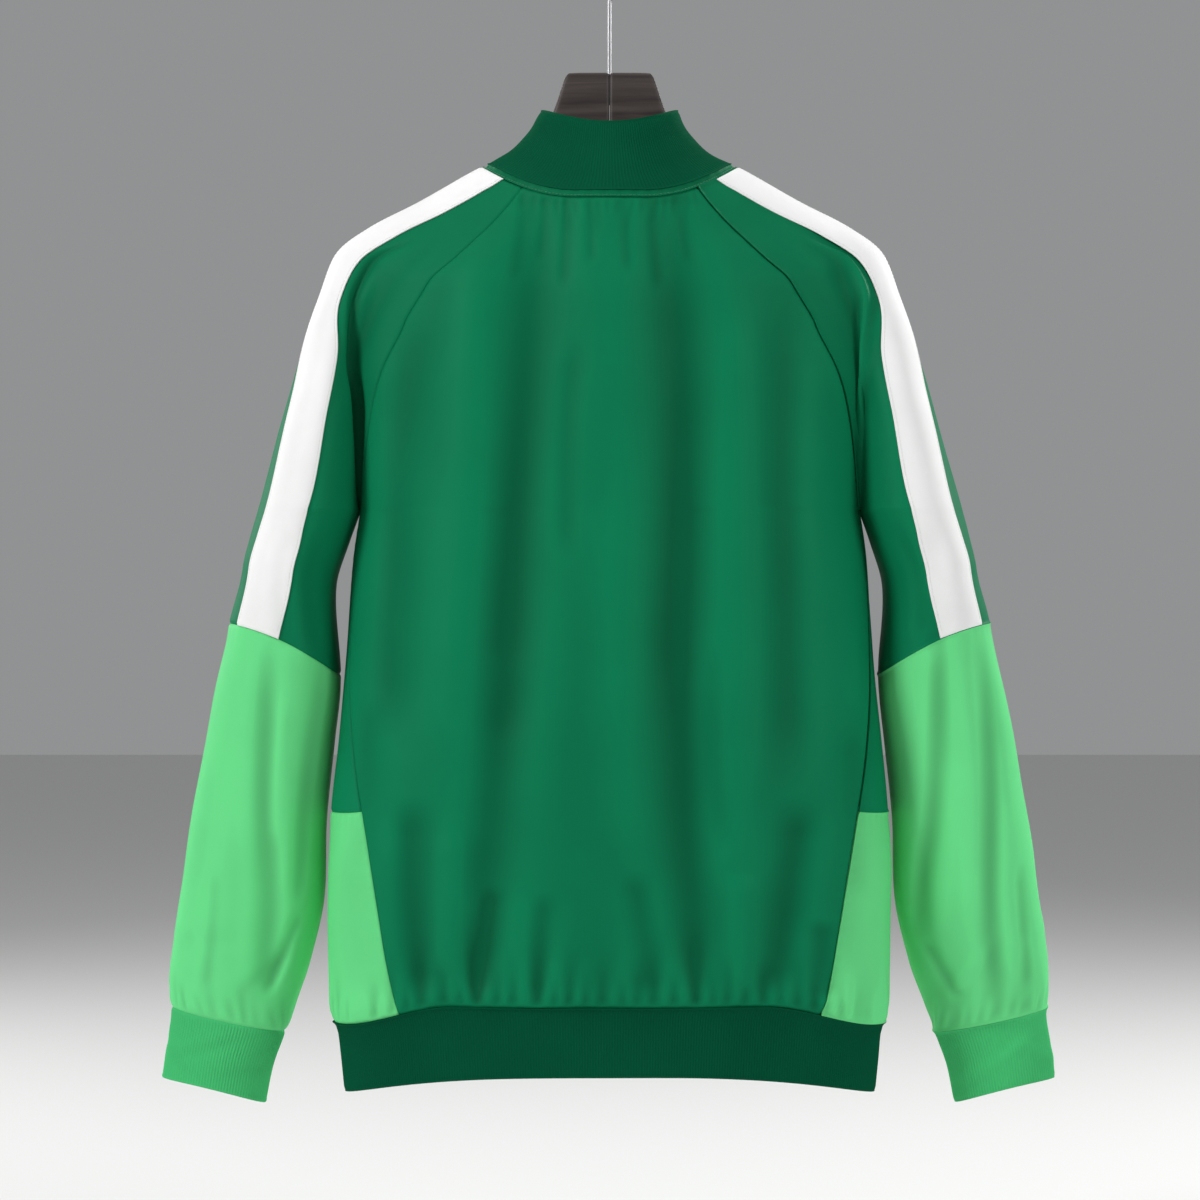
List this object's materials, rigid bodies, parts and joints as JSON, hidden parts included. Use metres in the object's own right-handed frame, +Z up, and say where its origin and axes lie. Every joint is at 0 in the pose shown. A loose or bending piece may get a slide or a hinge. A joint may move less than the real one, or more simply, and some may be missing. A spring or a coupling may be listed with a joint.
{
  "type": "track jacket on a wooden hanger",
  "caption": "Full-zip raglan track jacket with rib stand collar, cuffs and hem, contrast forearms and side panels, hanging on a contoured wooden hanger with a wire hook.",
  "frame": {"origin": "the point inside the hook's arc where it rests on a rail", "axes": "+Z up, the jacket's front faces -Y and its back +Y, +X is the wearer's left"},
  "size_m": [0.7024, 0.1998, 0.916],
  "materials": {
    "green_tricot": "smooth tricot with a soft sheen",
    "green_rib": "fine matt rib",
    "light_tricot": "smooth tricot with a soft sheen",
    "light_rib": "fine matt rib",
    "white_band": "matt woven tape",
    "zip_tape": "woven tape",
    "zip_chain": "moulded",
    "zip_metal": "satin",
    "dark_wood": "satin stain",
    "hook_wire": "polished wire"
  },
  "bodies": {
    "garment": {"back_panel": "green_tricot", "collar": "green_rib", "cuff_left": "light_rib", "cuff_right": "light_rib", "front_panel_left": "green_tricot", "front_panel_right": "green_tricot", "hanger_half_left": "dark_wood", "hanger_half_right": "dark_wood", "hanger_hook": "hook_wire", "hem_band": "green_rib", "neck_binding": "green_tricot", "side_panel_lower_left": "light_tricot", "side_panel_lower_right": "light_tricot", "side_panel_upper_left": "green_tricot", "side_panel_upper_right": "green_tricot", "sleeve_band_left": "white_band", "sleeve_band_right": "white_band", "sleeve_lower_left": "light_tricot", "sleeve_lower_right": "light_tricot", "sleeve_upper_left": "green_tricot", "sleeve_upper_right": "green_tricot", "zip_box": "zip_metal", "zip_chain": "zip_chain", "zip_slider": "zip_metal", "zip_tape_left": "zip_tape", "zip_tape_right": "zip_tape"},
    "pull_tab": {"zip_pull_tab": "zip_metal"}
  },
  "joints": [
    {"name": "pull_tab_swing", "type": "hinge", "parent": "garment", "child": "pull_tab", "pos_m": [0, -0.07428, -0.19937], "axis": [-1, 0, 0], "range_deg": [0, 135]}
  ]
}
